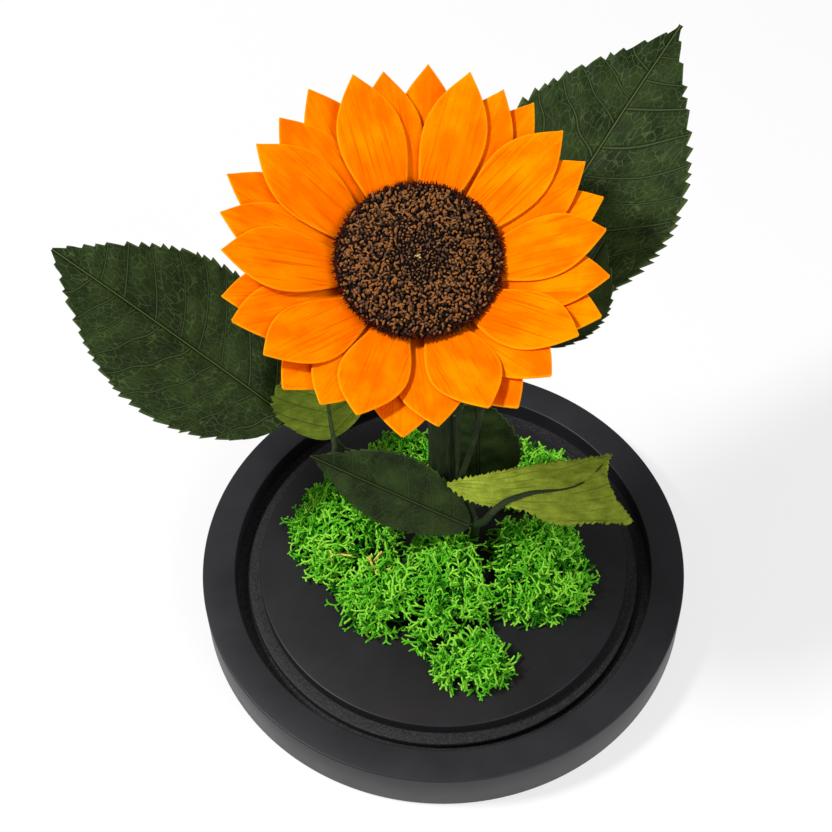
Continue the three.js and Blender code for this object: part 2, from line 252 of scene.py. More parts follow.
class Paint:
    """A Principled material and short ways to add the nodes that drive it."""

    def __init__(self, name, base, roughness, specular):
        self.material = bpy.data.materials.new(name)
        self.material.use_nodes = True
        self.tree = self.material.node_tree
        self.shader = self.tree.nodes["Principled BSDF"]
        self.shader.inputs["Base Color"].default_value = base
        self.shader.inputs["Roughness"].default_value = roughness
        self.shader.inputs["Specular IOR Level"].default_value = specular
        self.material.diffuse_color = base

    def node(self, kind, inputs=None, **settings):
        made = self.tree.nodes.new(kind)
        for key, value in settings.items():
            setattr(made, key, value)
        for key, value in (inputs or {}).items():
            if isinstance(value, bpy.types.NodeSocket):
                self.tree.links.new(value, made.inputs[key])
            else:
                made.inputs[key].default_value = value
        return made

    def place(self):
        return self.node("ShaderNodeTexCoord").outputs["Object"]

    def value(self, name, output="Fac"):
        return self.node("ShaderNodeAttribute", attribute_name=name).outputs[output]

    def stretched(self, vector, scale):
        return self.node("ShaderNodeMapping", {"Vector": vector, "Scale": scale}).outputs["Vector"]

    def noise(self, vector, scale, detail):
        inputs = {"Vector": vector, "Scale": scale, "Detail": detail}
        return self.node("ShaderNodeTexNoise", inputs).outputs["Fac"]

    def net(self, vector, scale, low, high):
        """Thin lines round the cells of a net: 1 on a line and 0 between lines."""
        inputs = {"Vector": vector, "Scale": scale}
        cells = self.node("ShaderNodeTexVoronoi", inputs, feature="DISTANCE_TO_EDGE")
        return self.falling(cells.outputs["Distance"], low, high)

    def between(self, value, low, high, to_low=0.0, to_high=1.0):
        inputs = {"Value": value, "From Min": low, "From Max": high, "To Min": to_low, "To Max": to_high}
        return self.node("ShaderNodeMapRange", inputs).outputs["Result"]

    def falling(self, value, low, high):
        """1 up to low, falling to 0 at high."""
        return self.between(value, low, high, 1.0, 0.0)

    def maths(self, operation, first, second):
        return self.node("ShaderNodeMath", {0: first, 1: second}, operation=operation).outputs[0]

    def times(self, first, second):
        return self.maths("MULTIPLY", first, second)

    def mix(self, factor, first, second):
        inputs = {"Factor": factor, 6: first, 7: second}
        return self.node("ShaderNodeMix", inputs, data_type="RGBA").outputs[2]

    def toned(self, value, low, high, first, second):
        """The first colour up to low, turning into the second at high."""
        return self.mix(self.between(value, low, high), first, second)

    def veins(self):
        """Side veins and midrib as 0 to 1 shades, wide and thin, from a blade's smooth values.

        The values hold which side vein a place is nearest to, as a number that is whole on a
        vein, its distance from the midrib in millimetres, and how strongly side veins show."""
        parts = self.node("ShaderNodeSeparateXYZ", {0: self.value("veins", "Vector")}).outputs
        off_vein = self.maths("PINGPONG", parts["X"], 0.5)
        off_rib = self.maths("ABSOLUTE", parts["Y"], 0.0)
        return {
            "groove": self.times(self.falling(off_vein, 0.028, 0.08), parts["Z"]),
            "line": self.times(self.falling(off_vein, 0.01, 0.032), parts["Z"]),
            "rib_groove": self.falling(off_rib, 0.3, 0.8),
            "rib_line": self.falling(off_rib, 0.06, 0.19),
        }

    def drive(self, **sockets):
        for key, value in sockets.items():
            self.tree.links.new(value, self.shader.inputs[key.replace("_", " ")])

    def bump(self, height, depth, strength):
        inputs = {"Height": height, "Distance": depth * MM, "Strength": strength}
        self.drive(Normal=self.node("ShaderNodeBump", inputs).outputs["Normal"])


def black_paint():
    """Matt black paint: a soft mottle, a fine grain, a rougher floor in the dome groove, and painted shade
    that makes the plateau darker than the rim.
    """
    made = Paint("base_black_paint", colour(36, 36, 40), 0.5, 0.3)
    place = made.place()
    mottle = made.noise(place, 60.0, 4.0)
    grain = made.noise(place, 2600.0, 2.0)
    flat = made.stretched(place, (1.0, 1.0, 0.0))
    radius = made.node("ShaderNodeVectorMath", {0: flat}, operation="LENGTH").outputs["Value"]
    inside = made.between(radius, (PLATEAU_RADIUS - 0.2) * MM, (PLATEAU_RADIUS + 0.4) * MM)
    groove = made.times(inside, made.falling(radius, (RIM_INNER - 0.6) * MM, RIM_INNER * MM))
    outer = made.toned(mottle, 0.35, 0.7, colour(31, 31, 35), colour(37, 37, 41))
    # The raised plateau gets a darker colour than the rim: painted shade under the plant.
    raised = made.toned(mottle, 0.35, 0.7, colour(20, 20, 23), colour(26, 26, 29))
    paint_and_plateau_shade = made.toned(radius, (PLATEAU_RADIUS - 0.4) * MM, (PLATEAU_RADIUS + 0.2) * MM, raised, outer)
    worn = made.toned(grain, 0.4, 0.7, colour(14, 14, 16), colour(52, 52, 54))
    made.drive(Base_Color=made.mix(groove, paint_and_plateau_shade, worn))
    made.drive(Roughness=made.between(made.maths("ADD", mottle, groove), 0.3, 1.5, 0.42, 0.62))
    made.bump(grain, 0.03, 0.5)
    return made.material


def petal_felt():
    """Orange felt: faint redder streaks along the petal, a soft mottle and a lit yellow edge."""
    made = Paint("petal_orange_felt", colour(255, 128, 0), 0.95, 0.0)
    place = made.value("place", "Vector")
    streaks = made.noise(made.stretched(place, (0.8, 0.06, 1.0)), 1.0, 4.0)
    mottle = made.noise(made.stretched(place, (0.15, 0.1, 1.0)), 1.0, 4.0)
    spots = made.maths("ADD", made.times(streaks, 0.5), made.times(mottle, 1.5))
    felt = made.toned(spots, 0.8, 1.2, colour(250, 112, 0), colour(255, 142, 0))
    lines = made.between(made.noise(made.stretched(place, (1.9, 0.05, 2.0)), 1.0, 3.0), 0.55, 0.68)
    inner = made.between(made.value("along"), 0.1, 0.95, 0.85, 0.25)
    lined = made.mix(made.times(lines, inner), felt, colour(206, 60, 0))
    root = made.between(made.value("along"), 0.0, 0.55, 0.7, 0.0)
    rooted = made.mix(root, lined, colour(250, 98, 0))
    edge = made.times(made.value("edge"), 0.75)
    fibres = made.noise(made.place(), 3200.0, 3.0)
    grained = made.mix(made.between(fibres, 0.35, 0.6, 0.22, 0.0), rooted, colour(214, 78, 0))
    made.drive(Base_Color=made.mix(edge, grained, colour(255, 168, 14)))
    made.bump(fibres, 0.05, 0.6)
    return made.material


def leaf_upper(name, lines):
    """A leaf's dark waxy upper side: sunken side veins and midrib, with painted shade near black in their
    grooves, a fine net of lighter lines, a thin midrib.

    lines is how clearly the veins and the net show."""
    made = Paint(name, colour(32, 44, 20), 0.7, 0.07)
    place = made.place()
    between_veins = made.stretched(made.value("veins", "Vector"), (3.6, 0.62, 0.0))
    uneven = made.node("ShaderNodeTexNoise", {"Vector": place, "Scale": 330.0}).outputs["Color"]
    inputs = {0: uneven, 1: (0.7, 0.7, 0.0), 2: between_veins}
    warped = made.node("ShaderNodeVectorMath", inputs, operation="MULTIPLY_ADD").outputs["Vector"]
    net = made.net(warped, 1.0, 0.0, 0.06)
    fine = made.net(warped, 2.6, 0.0, 0.12)
    patches = made.noise(place, 130.0, 6.0)
    shown = made.between(made.noise(place, 200.0, 4.0), 0.35, 0.65, 0.16 * lines, 0.56 * lines)
    ground = made.toned(patches, 0.35, 0.65, colour(22, 33, 12), colour(42, 57, 24))
    finer = made.mix(made.times(fine, 0.15 * lines), ground, colour(72, 92, 50))
    netted = made.mix(made.times(net, shown), finer, colour(86, 108, 64))
    vein = made.veins()
    # Near black in the side vein and midrib grooves is painted shade in the sunken grooves.
    sunken = made.mix(made.times(vein["groove"], 0.9 * lines), netted, colour(10, 17, 6))
    veined = made.mix(made.times(vein["line"], 0.5 * lines), sunken, colour(84, 104, 56))
    rib_groove_painted_shade = made.mix(made.times(vein["rib_groove"], 0.85), veined, colour(10, 17, 6))
    rib_shade = 0.1 + 0.45 * lines
    ribbed = made.mix(made.times(vein["rib_line"], rib_shade), rib_groove_painted_shade, colour(112, 128, 60))
    made.drive(Base_Color=made.mix(made.value("rim"), ribbed, colour(96, 112, 60)))
    made.drive(Roughness=made.between(patches, 0.3, 0.7, 0.5, 0.7))
    grooves = made.maths("MAXIMUM", vein["groove"], vein["rib_groove"])
    made.bump(made.maths("ADD", grooves, made.times(net, 0.4)), 0.4, -0.9)
    return made.material


def leaf_under(name, light, dark, vein_shade):
    """A leaf's matt pale underside with darker veins, fine streaks and wrinkles."""
    made = Paint(name, light, 0.8, 0.12)
    place = made.place()
    net = made.net(place, 700.0, 0.0, 0.12)
    patches = made.noise(place, 260.0, 6.0)
    streaks = made.noise(made.stretched(place, (160.0, 900.0, 900.0)), 1.0, 4.0)
    both = made.maths("ADD", made.times(patches, 0.6), made.times(streaks, 0.5))
    plain_side = made.toned(both, 0.4, 0.7, dark, light)
    netted = made.mix(made.times(net, 0.16), plain_side, vein_shade)
    vein = made.veins()
    lines = made.maths("MAXIMUM", vein["line"], vein["rib_line"])
    made.drive(Base_Color=made.mix(made.times(lines, 0.7), netted, vein_shade))
    made.bump(made.maths("ADD", vein["groove"], made.times(streaks, 0.7)), 0.25, 0.7)
    return made.material


def fibrous(name, dark, light, roughness, fineness):
    """A stem's skin, streaked lengthwise."""
    made = Paint(name, dark, roughness, 0.2)
    place = made.place()
    streaks = made.noise(made.stretched(place, (fineness, fineness, fineness * 0.06)), 1.0, 5.0)
    patches = made.noise(place, 150.0, 3.0)
    both = made.maths("ADD", streaks, made.times(patches, 0.6))
    made.drive(Base_Color=made.toned(both, 0.55, 1.05, dark, light))
    made.bump(streaks, 0.15, 0.6)
    return made.material


def plain(name, base, roughness):
    """A plain base colour, for one kind of many small joined things."""
    return Paint(name, base, roughness, 0.1).material


# ---- base

BASE_RADIUS = 75.0
RIM_TOP = 16.0
RIM_INNER = 64.8
LEDGE_OUTER = 61.0
LEDGE_TOP = 11.4
GROOVE_FLOOR = 9.0
PLATEAU_RADIUS = 57.2
PLATEAU_TOP = 15.5
EDGE = 0.5  # size of the softened edges
FOOT_EDGE = 1.0
CORNER_STEPS = 5
BASE_SEGMENTS = 240


def softened(radius, height, from_side, to_side):
    """A rounded corner of the profile between two directions, each a (radius, height) step."""
    corner = np.array([radius, height])
    start = corner + EDGE * np.array(from_side)
    end = corner + EDGE * np.array(to_side)
    middle = start + end - corner
    angles = np.linspace(0, math.pi / 2, CORNER_STEPS)
    return [tuple(middle + (start - middle) * math.cos(a) + (end - middle) * math.sin(a)) for a in angles]


def make_base():
    """The whole turned base in one lathe shape: underside, wall, rim, stepped groove, plateau."""
    down, inward, outward = (0, -1), (-1, 0), (1, 0)
    profile = [
        (0, 0),
        (BASE_RADIUS - FOOT_EDGE, 0),
        (BASE_RADIUS - 0.3 * FOOT_EDGE, 0.3 * FOOT_EDGE),
        (BASE_RADIUS, FOOT_EDGE),
        *softened(BASE_RADIUS, RIM_TOP, down, inward),
        *softened(RIM_INNER, RIM_TOP, outward, down),
        (RIM_INNER, GROOVE_FLOOR),
        (LEDGE_OUTER, GROOVE_FLOOR),
        *softened(LEDGE_OUTER, LEDGE_TOP, down, inward),
        (PLATEAU_RADIUS, LEDGE_TOP),
        *softened(PLATEAU_RADIUS, PLATEAU_TOP, down, inward),
        (PLATEAU_RADIUS * 0.6, PLATEAU_TOP),
        (0, PLATEAU_TOP),
    ]
    nodes = ("base_slab", "base_rim", "base_plateau")
    shape = lathe(profile, BASE_SEGMENTS)
    piece("turned_base", shape, [black_paint()], nodes, sharp=35)


# ---- bloom

BLOOM_CENTRE = np.array([-5.6, 5.0, 153.0])
BLOOM_RISE = math.radians(72.5)
BLOOM_TURN = math.radians(3)
DISC_RADIUS = 21.9
DISC_DOME = 1.8
DISC_LIP = 0.4
CALYX_DEPTH = 25.0
PETALS_PER_LAYER = 10
PETAL_ROOT = 17.0
PETAL_THICKNESS = 0.8
PETAL_RING_SHIFT = -1.2
FIRST_PETAL = 106.0
LAYER_TURN = -12.0
PETAL_TURN = -360.0 / PETALS_PER_LAYER
PETAL_WIDTH = 17.6
PETAL_DROOP = 0.5
PETAL_SKEW = 0.7  # how far its middle bows sideways at most
PETAL_ROUNDING = 0.42  # how far in from its edge it thins out
LIT_EDGE = 0.7  # how far in the edge is lit
PETAL_ROWS = 36
PETAL_COLUMNS = 25
LAYER_DROP = 2.6
LAYERS = [
    {"name": "front", "tip": 48.0, "slope": 0.57},
    {"name": "middle", "tip": 48.5, "slope": 0.59},
    {"name": "back", "tip": 50.0, "slope": 0.6},
]
TURN_STRAY = 2.2  # how far a petal strays from its even turn, in degrees
TIP_STRAY = 0.8  # and its tip from its layer's radius

BLOOM_AXIS = np.array(
    [
        math.cos(BLOOM_RISE) * math.sin(BLOOM_TURN),
        -math.cos(BLOOM_RISE) * math.cos(BLOOM_TURN),
        math.sin(BLOOM_RISE),
    ]
)
BLOOM_ACROSS = unit(np.cross([0, 0, 1], BLOOM_AXIS))
BLOOM_AXES = np.array([BLOOM_ACROSS, np.cross(BLOOM_AXIS, BLOOM_ACROSS), BLOOM_AXIS])


def on_bloom(points):
    """Points of the bloom's own frame, whose Z is its axis, in the frame of the whole."""
    return points @ BLOOM_AXES + BLOOM_CENTRE


def spun(points, degrees):
    """Points turned about Z."""
    cos, sin = math.cos(math.radians(degrees)), math.sin(math.radians(degrees))
    return points @ np.array([[cos, sin, 0], [-sin, cos, 0], [0, 0, 1]])


def make_petal(row, k, felt):
    """One felt petal: rounded edges, drooping sides, soft folds at its root and its own unevenness."""
    layer = LAYERS[row]
    rng = np.random.default_rng(1000 + 10 * row + k)
    length = layer["tip"] + rng.uniform(-TIP_STRAY, TIP_STRAY) - PETAL_ROOT
    root = -LAYER_DROP * (row + 2)
    rows = np.sin(np.linspace(0, math.pi / 2, PETAL_ROWS))
    columns = np.sin(np.linspace(-1, 1, PETAL_COLUMNS) * math.pi / 2)
    along, across = np.meshgrid(rows, columns, indexing="ij")
    width = PETAL_WIDTH * rng.uniform(0.95, 1.02)
    skew = rng.uniform(-PETAL_SKEW, PETAL_SKEW)
    half = width / 2 * np.sin(math.pi * (0.22 + 0.775 * along) ** 1.5) ** (0.72 + 0.28 * along)
    x = PETAL_ROOT + along * length
    y = across * half + skew * np.sin(math.pi * along)
    lift = rng.uniform(-0.3, 0.3) * along**2 + rng.uniform(-0.4, 0.4) * along * across
    lift += 0.3 * (-1) ** k * (1 - along)
    middle = root + layer["slope"] * along * length - PETAL_DROOP * across**2 + lift
    folds = waves(xyz(x * 0.25, y, 0), 7.0, 50 * row + k)
    middle += 0.22 * folds * np.exp(-2.0 * along) + 0.12 * waves(xyz(x, y, 0), 16.0, k)
    to_edge = np.minimum((1 - np.abs(across)) * half, (1 - along) * length)
    roundness = np.clip(to_edge / PETAL_ROUNDING, 0, 1)
    thick = PETAL_THICKNESS / 2 * np.sqrt(1 - (1 - roundness) ** 2)
    angle = FIRST_PETAL + LAYER_TURN * row + PETAL_TURN * k + rng.uniform(-TURN_STRAY, TURN_STRAY)
    sides = []
    for height in (middle + thick, middle - thick):
        local = spun(xyz(x, y, height), angle)
        local[..., 0] += PETAL_RING_SHIFT
        sides.append(on_bloom(local))
    values = {
        "place": blade_values(xyz(y, x, 37.0 * rng.uniform())),
        "along": blade_values(along),
        "edge": blade_values(np.clip(1 - to_edge / LIT_EDGE, 0, 1)),
    }
    name = f"petal_{layer['name']}_{k + 1:02d}"
    piece(name + "_felt", blade(*sides), [felt], (name,), values=values)


DISC_BACK = -3.9
BED_SINK = 0.75  # how far the disc's bed lies under its surface, and the florets' feet
FLORET_SINK = 1.1
FLORET_REACH = 20.9
FLORETS = 1750
CURLED_FLORETS = 300
CURLED_REACH = 19.0
FUZZ_HAIRS = 1500
EYE_BITS = 9
FLORET_SIDES = 5
HAIR_SIDES = 4


def disc_height(radius):
    """Height of the disc's surface over its plane."""
    return DISC_DOME - (DISC_DOME + DISC_LIP) * (radius / DISC_RADIUS) ** 3


def disc_rods(name, paths, radii, sides, materials, kind=0):
    """Many small tubes on the disc as one piece. kind picks each one's material."""
    kinds = np.repeat(np.broadcast_to(kind, len(paths)), faces_of_each(paths.shape[1], sides))
    piece(name, tubes(on_bloom(paths), radii, sides), materials, kinds=kinds)


def make_disc():
    """The seed disc: a dark bed, florets in a spiral, curled ones, a fuzzy edge and a pale eye."""
    rng = np.random.default_rng(7)
    profile = [(0, DISC_BACK), (16, DISC_BACK), (21.2, -1.3), (21.3, -0.9)]
    profile += [(r, disc_height(r) - BED_SINK) for r in (20.5, 17.5, 14, 9.9, 5, 0)]
    points, faces = lathe(profile, 96)
    points[:, 2] += 0.12 * waves(points, 2.2, 3)
    bed = plain("disc_near_black", colour(12, 7, 5), 0.95)
    piece("disc_bed", (on_bloom(points), faces), [bed], ("flower_disc",), sharp=50)
    browns = [
        plain("floret_tan", colour(142, 94, 50), 0.85),
        plain("floret_brown", colour(98, 69, 50), 0.9),
        plain("floret_dark", colour(44, 30, 23), 0.95),
    ]
    make_florets(browns, rng)
    make_curled_florets(browns[:2], rng)
    make_fuzz(rng)

    spots = xyz(rng.normal(size=EYE_BITS) * 0.35, rng.normal(size=EYE_BITS) * 0.35, 1.75)
    paths = spots[:, None] + np.array([0, 0, 0.28]) * np.array([0, 0.6, 1.0])[:, None]
    radii = np.full((EYE_BITS, 1), 0.2) * np.array([1, 1, 0.6])
    eye = plain("disc_eye_pale", colour(196, 186, 110), 0.7)
    disc_rods("disc_eye", paths, radii, 6, [eye])


def make_florets(browns, rng):
    """Short rods in a spiral, each leaning its own way, browner in the middle and thin at the border."""
    k = np.arange(FLORETS)
    radius = FLORET_REACH * np.sqrt((k + 0.5) / FLORETS) + rng.normal(size=FLORETS) * 0.12
    angle = k * math.pi * (3 - math.sqrt(5)) + rng.normal(size=FLORETS) * 0.012
    centre = np.clip((8.5 - radius) / 4.0 + rng.normal(size=FLORETS) * 0.15, 0, 1)
    border = np.clip((radius - 18.6) / 2.0, 0, 1)
    thick = rng.uniform(0.26, 0.44, FLORETS) * (1 - 0.35 * centre) * (1 - 0.1 * border)
    tall = rng.uniform(0.4, 1.7, FLORETS) * (1 - 0.15 * centre)
    lean = rng.uniform(0.15, 0.65, FLORETS)
    foot = polar(radius, angle, disc_height(radius) - FLORET_SINK)
    tilt = rng.normal(size=(FLORETS, 3)) * lean[:, None] * np.array([1, 1, 0])
    shares = np.array([0.0, 0.5, 0.85, 1.0])
    paths = foot[:, None] + tilt[:, None] * (shares**2)[:, None]
    paths[:, :, 2] += tall[:, None] * shares
    radii = thick[:, None] * np.array([0.8, 1.0, 1.0, 0.62])
    tan_share = np.clip(0.46 - 0.16 * centre - 0.2 * border, 0.04, 1)
    brown_share = 0.34 + 0.4 * centre
    draw = rng.uniform(size=FLORETS)
    kind = np.where(draw < tan_share, 0, np.where(draw < tan_share + brown_share, 1, 2))
    disc_rods("disc_florets", paths, radii, FLORET_SIDES, browns, kind)


def make_curled_florets(browns, rng):
    """Florets that lie bent across the others."""
    count = CURLED_FLORETS
    radius = CURLED_REACH * np.sqrt(rng.uniform(0.15, 1, count))
    angle = rng.uniform(0, 2 * math.pi, count)
    spin = rng.uniform(0, 2 * math.pi, count)
    run = polar(1, spin, rng.uniform(-0.15, 0.15, count))
    bow = xyz(-np.sin(spin), np.cos(spin), 0) * rng.normal(size=(count, 1)) * 0.25
    middle = polar(radius, angle, disc_height(radius) + 0.1)
    shares = np.array([-1.0, -0.35, 0.35, 1.0])
    reach = rng.uniform(0.4, 0.75, count)[:, None, None]
    paths = middle[:, None] + run[:, None] * reach * shares[:, None] + bow[:, None] * (shares**2)[:, None]
    radii = rng.uniform(0.2, 0.3, count)[:, None] * np.array([0.8, 1, 1, 0.7])
    kind = (rng.uniform(size=count) < 0.3).astype(int)
    disc_rods("disc_curled_florets", paths, radii, FLORET_SIDES, browns, kind)


def make_fuzz(rng):
    """Short red-brown and dark hairs round the edge of the disc, pointing mostly outwards."""
    angle = rng.uniform(0, 2 * math.pi, FUZZ_HAIRS)
    radius = rng.uniform(19.9, 21.4, FUZZ_HAIRS)
    away = polar(1, angle, rng.uniform(-0.25, 0.7, FUZZ_HAIRS))
    away += rng.normal(size=(FUZZ_HAIRS, 3)) * 0.5
    start = polar(radius, angle, disc_height(radius) - 0.6)
    reach = rng.uniform(0.6, 1.35, FUZZ_HAIRS)[:, None, None]
    paths = start[:, None] + unit(away)[:, None] * reach * np.array([0, 0.55, 1.0])[:, None]
    radii = rng.uniform(0.13, 0.22, FUZZ_HAIRS)[:, None] * np.array([1.0, 0.8, 0.35])
    fuzz = [plain("fuzz_red_brown", colour(84, 28, 10), 0.95), plain("fuzz_dark", colour(30, 14, 9), 0.95)]
    kind = (rng.uniform(size=FUZZ_HAIRS) < 0.5).astype(int)
    disc_rods("disc_fuzz", paths, radii, HAIR_SIDES, fuzz, kind)


HUB_RADIUS = 15.4
HUB_TOP = -4.3
BRACT_RINGS = [
    # bracts, radius and height of the foot, length, rise for each millimetre outwards, width
    {"count": 15, "radius": 14.0, "height": -14.8, "length": 13.5, "slope": 0.52, "width": 8.4},
    {"count": 14, "radius": 11.0, "height": -19.6, "length": 13.0, "slope": 0.52, "width": 8.0},
    {"count": 12, "radius": 7.0, "height": -22.8, "length": 12.5, "slope": 0.42, "width": 7.0},
]
BRACT_HALF_THICKNESS = 0.25


def make_calyx():
    """The green cup behind the petals: a ribbed hub and three rings of pointed bracts."""
    profile = [(0, -CALYX_DEPTH), (4.35, -CALYX_DEPTH), (7.5, -24), (11, -21.6), (14.2, -18)]
    profile += [(HUB_RADIUS, -14), (HUB_RADIUS, HUB_TOP), (0, HUB_TOP)]
    points, faces = lathe(profile, 90)
    turn = np.arctan2(points[:, 1], points[:, 0])
    points[:, :2] *= (1 + 0.02 * np.cos(15 * turn))[:, None]
    skin = fibrous("calyx_green_skin", colour(58, 82, 38), colour(92, 118, 58), 0.8, 900.0)
    piece("calyx_hub", (on_bloom(points), faces), [skin], ("calyx",), sharp=50)

    parts = []
    rng = np.random.default_rng(21)
    along, across = np.meshgrid(np.linspace(0, 1, 16), np.linspace(-1, 1, 11), indexing="ij")
    for ring in BRACT_RINGS:
        for k in range(ring["count"]):
            length = ring["length"] * rng.uniform(0.9, 1.08)
            half = ring["width"] / 2 * (np.sin(math.pi * (0.25 + 0.74 * along)) ** 0.75)
            x = ring["radius"] + along * length
            y = across * half + rng.uniform(-0.6, 0.6) * along
            middle = ring["height"] + ring["slope"] * along * length + 0.5 * across**2 - 0.9
            middle -= rng.uniform(0.0, 1.4) * along**3 - 0.25 * np.exp(-((y / 0.5) ** 2))
            thick = BRACT_HALF_THICKNESS * inner_part(across)
            angle = 360.0 * (k + 0.5 * (ring["radius"] > 10)) / ring["count"] + rng.uniform(-4, 4)
            sides = [on_bloom(spun(xyz(x, y, middle + e * thick), angle)) for e in (1, -1)]
            parts.append(blade(*sides))
    green = fibrous("bract_green", colour(52, 76, 32), colour(88, 114, 52), 0.8, 1100.0)
    piece("calyx_bracts", joined(parts), [green])


# ---- stem and stalks

STEM_RADIUS = 3.75
STEM_RIBS = 9
STEM_FOOT = [0.3, 14.0, 15.55]
STEM_LOW = [0.2, 14.3, 45]
STEM_HIGH = [-0.6, 15.4, 85]
NECK_LENGTH = 12
STEM_SIDES = 96
FINE_RIBS = 12

# Each stalk's route and its radius at both ends. The ends run on a little, into what they meet.
STALKS = {
    "twig_foot": (
        [[9.8, 3.6, 15.55], [9.8, 3.6, 20], [10, 2.6, 27], [10.2, 1.2, 33.4], [9.8, 1.9, 36.4]],
        (1.5, 1.2),
    ),
    "twig_rise": ([[9.7, 2, 35.4], [8.4, 4.6, 39.4], [5.9, 7.8, 44.6], [5.2, 8.7, 47.4]], (1.15, 1.0)),
    "stalk_high": (
        [
            [5.4, 8.7, 47], [8.4, 8.6, 62], [11.4, 9, 81],
            [14, 12.6, 98], [16.6, 19.6, 114.6], [19.6, 24.6, 117.4],
        ],
        (0.95, 0.8),
    ),
    "stalk_upright": (
        [
            [5.0, 9.4, 47.2], [5, 10.6, 66], [5.6, 11, 82],
            [10.6, 9, 98], [21.6, 5.6, 111.6], [27.6, 6.4, 116.8],
        ],
        (0.85, 0.75),
    ),
    "stalk_left": (
        [
            [-1.5, 14.2, 25], [-4.9, 15, 30], [-12.6, 20, 38.6],
            [-21.6, 22, 42.6], [-29, 20.6, 47.4], [-31.8, 17.8, 57.4],
        ],
        (0.85, 0.85),
    ),
    "stalk_left_tip": (
        [[-31.9, 17.9, 56.6], [-33.6, 19, 58], [-38, 19.8, 61.4], [-43.4, 19.6, 65], [-46, 20, 67.2]],
        (0.85, 0.6),
    ),
}


# Short petioles of the two leaves that no stalk carries, from the stem's foot and from the twig.
PETIOLES = {
    "leaf_behind_stem": [[3.4, 15.2, 16.4], [7.4, 17.4, 18.4], [10.6, 19.2, 22.4], [11.9, 19.8, 27.8]],
    "leaf_low_left": [[10.1, 1.8, 34.6], [9.2, 0.6, 35.8], [7.2, -0.7, 36.5]],
}
PETIOLE_RADIUS = 0.8


def one_tube(route, steps, start, end, sides, ribs=None):
    """A single tapering tube along a smooth route."""
    path = spline(route, steps)
    radii = np.linspace(start, end, steps + 1)
    radii = radii * (1 + 0.04 * waves(path, 9.0, len(route), 2))
    return tubes(path[None], radii[None], sides, ribs)


def make_stem_and_stalks():
    """The fluted stem up to the calyx, the bark of the twig and stalks, and two petioles."""
    top = BLOOM_CENTRE - BLOOM_AXIS * (CALYX_DEPTH - 0.4)
    neck = top - BLOOM_AXIS * NECK_LENGTH
    route = [STEM_FOOT, STEM_LOW, STEM_HIGH, neck, top]
    rng = np.random.default_rng(5)
    fine = rng.normal(size=FINE_RIBS) * 0.006
    orders = np.arange(FINE_RIBS) * 3 + 11

    def ribs(angles):
        fluting = 1 + 0.04 * np.cos(STEM_RIBS * angles)
        return fluting + (fine[:, None] * np.sin(orders[:, None] * angles)).sum(axis=0)

    skin = fibrous("stem_green_skin", colour(16, 22, 9), colour(40, 52, 24), 0.6, 2400.0)
    shape = one_tube(route, 70, STEM_RADIUS * 1.05, STEM_RADIUS * 0.95, STEM_SIDES, ribs)
    piece("stem_skin", shape, [skin], ("stem",))
    bark = fibrous("twig_green_bark", colour(18, 26, 12), colour(42, 54, 28), 0.6, 2600.0)
    for name, (route, (start, end)) in STALKS.items():
        shape = one_tube(route, 12 * (len(route) - 1), start, end, 14)
        piece(name + "_bark", shape, [bark], (name,))
    for name, route in PETIOLES.items():
        shape = one_tube(route, 24, PETIOLE_RADIUS, 0.7 * PETIOLE_RADIUS, 12)
        piece(name + "_petiole", shape, [bark])


# ---- leaves

# The places and shapes of the leaves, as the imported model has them: from base to tip, which way the
# upper side faces, how far the middle rises, how the halves differ, where the leaf is widest and how
# its end narrows. veins counts the side veins, and lines is how clearly they show.
LEAVES = {
    "leaf_upper_right": {
        "base": [18.3, 23, 116.4], "tip": [67.7, 78.6, 162.2], "width": 56, "facing": [-0.1, -0.5, 0.86],
        "arch": 3, "bias": -0.06, "peak": 0.75, "taper": 0.6, "veins": 9, "lines": 1.0,
    },
    "leaf_left": {
        "base": [-44.6, 19.5, 66.2], "tip": [-108.1, 42, 118.5], "width": 48.5, "facing": [0.1, -0.5, 0.86],
        "arch": 3, "bias": -0.02, "peak": 0.88, "taper": 0.36, "veins": 10, "lines": 1.0,
    },
    "leaf_left_inner": {
        "base": [-32.2, 16.6, 59.4], "tip": [-33.4, 25, 94], "width": 33, "facing": [-0.4, 0.95, -0.3],
        "arch": 2, "bias": 0, "peak": 0.9, "taper": 0.5, "veins": 7, "lines": 1.0,
    },
    "leaf_low_left": {
        "base": [8, -0.9, 36.2], "tip": [-39.1, 12.2, 56.8], "width": 22.5, "facing": [0.11, -0.71, 0.7],
        "arch": 0.6, "bias": -0.1, "peak": 0.9, "taper": 0.5, "veins": 8, "lines": 0.35,
    },
    "leaf_behind_stem": {
        "base": [11.8, 19.6, 26], "tip": [11, 25, 70], "width": 27, "facing": [0, -0.9, 0.4],
        "arch": 1, "bias": 0, "peak": 0.8, "taper": 0.5, "veins": 8, "lines": 0.35,
    },
    "leaf_under_bloom": {
        "base": [26.6, 5.3, 116], "tip": [43.9, 23.6, 137], "width": 22.5, "facing": [0, -0.6, 0.8],
        "arch": 1, "bias": 0, "peak": 0.9, "taper": 0.4, "veins": 6, "lines": 0.35,
    },
}
LEAF_FOLD = 0.06
LEAF_TIP_SHARE = 0.02
TOOTH_SPACING = 3.4
TOOTH_DEPTH = 1.5
TOOTH_STEPS = np.array([0.0, 0.17, 0.34, 0.51, 0.68, 0.82, 0.94])
LEAF_HALF_THICKNESS = 0.2
LEAF_COLUMNS = 0.42  # columns of a leaf's grid on each side of its midrib, for each millimetre of width


def vein_order(x, y, length, veins):
    """Which side vein each place is nearest to, whole on a vein, and how strongly veins show."""
    side = np.abs(y)
    order = (x - 0.4 * side - 0.014 * side**2) * veins / length + 0.5 * (y > 0)
    order = order + 0.16 * np.sin(x * 0.17 + 2.0 * (y > 0)) + 0.04 * np.sin(x * 0.5 + y * 0.4)
    fade = np.clip((order - 0.3) * 3, 0, 1) * np.clip((0.97 - x / length) * 12, 0, 1)
    return order, fade


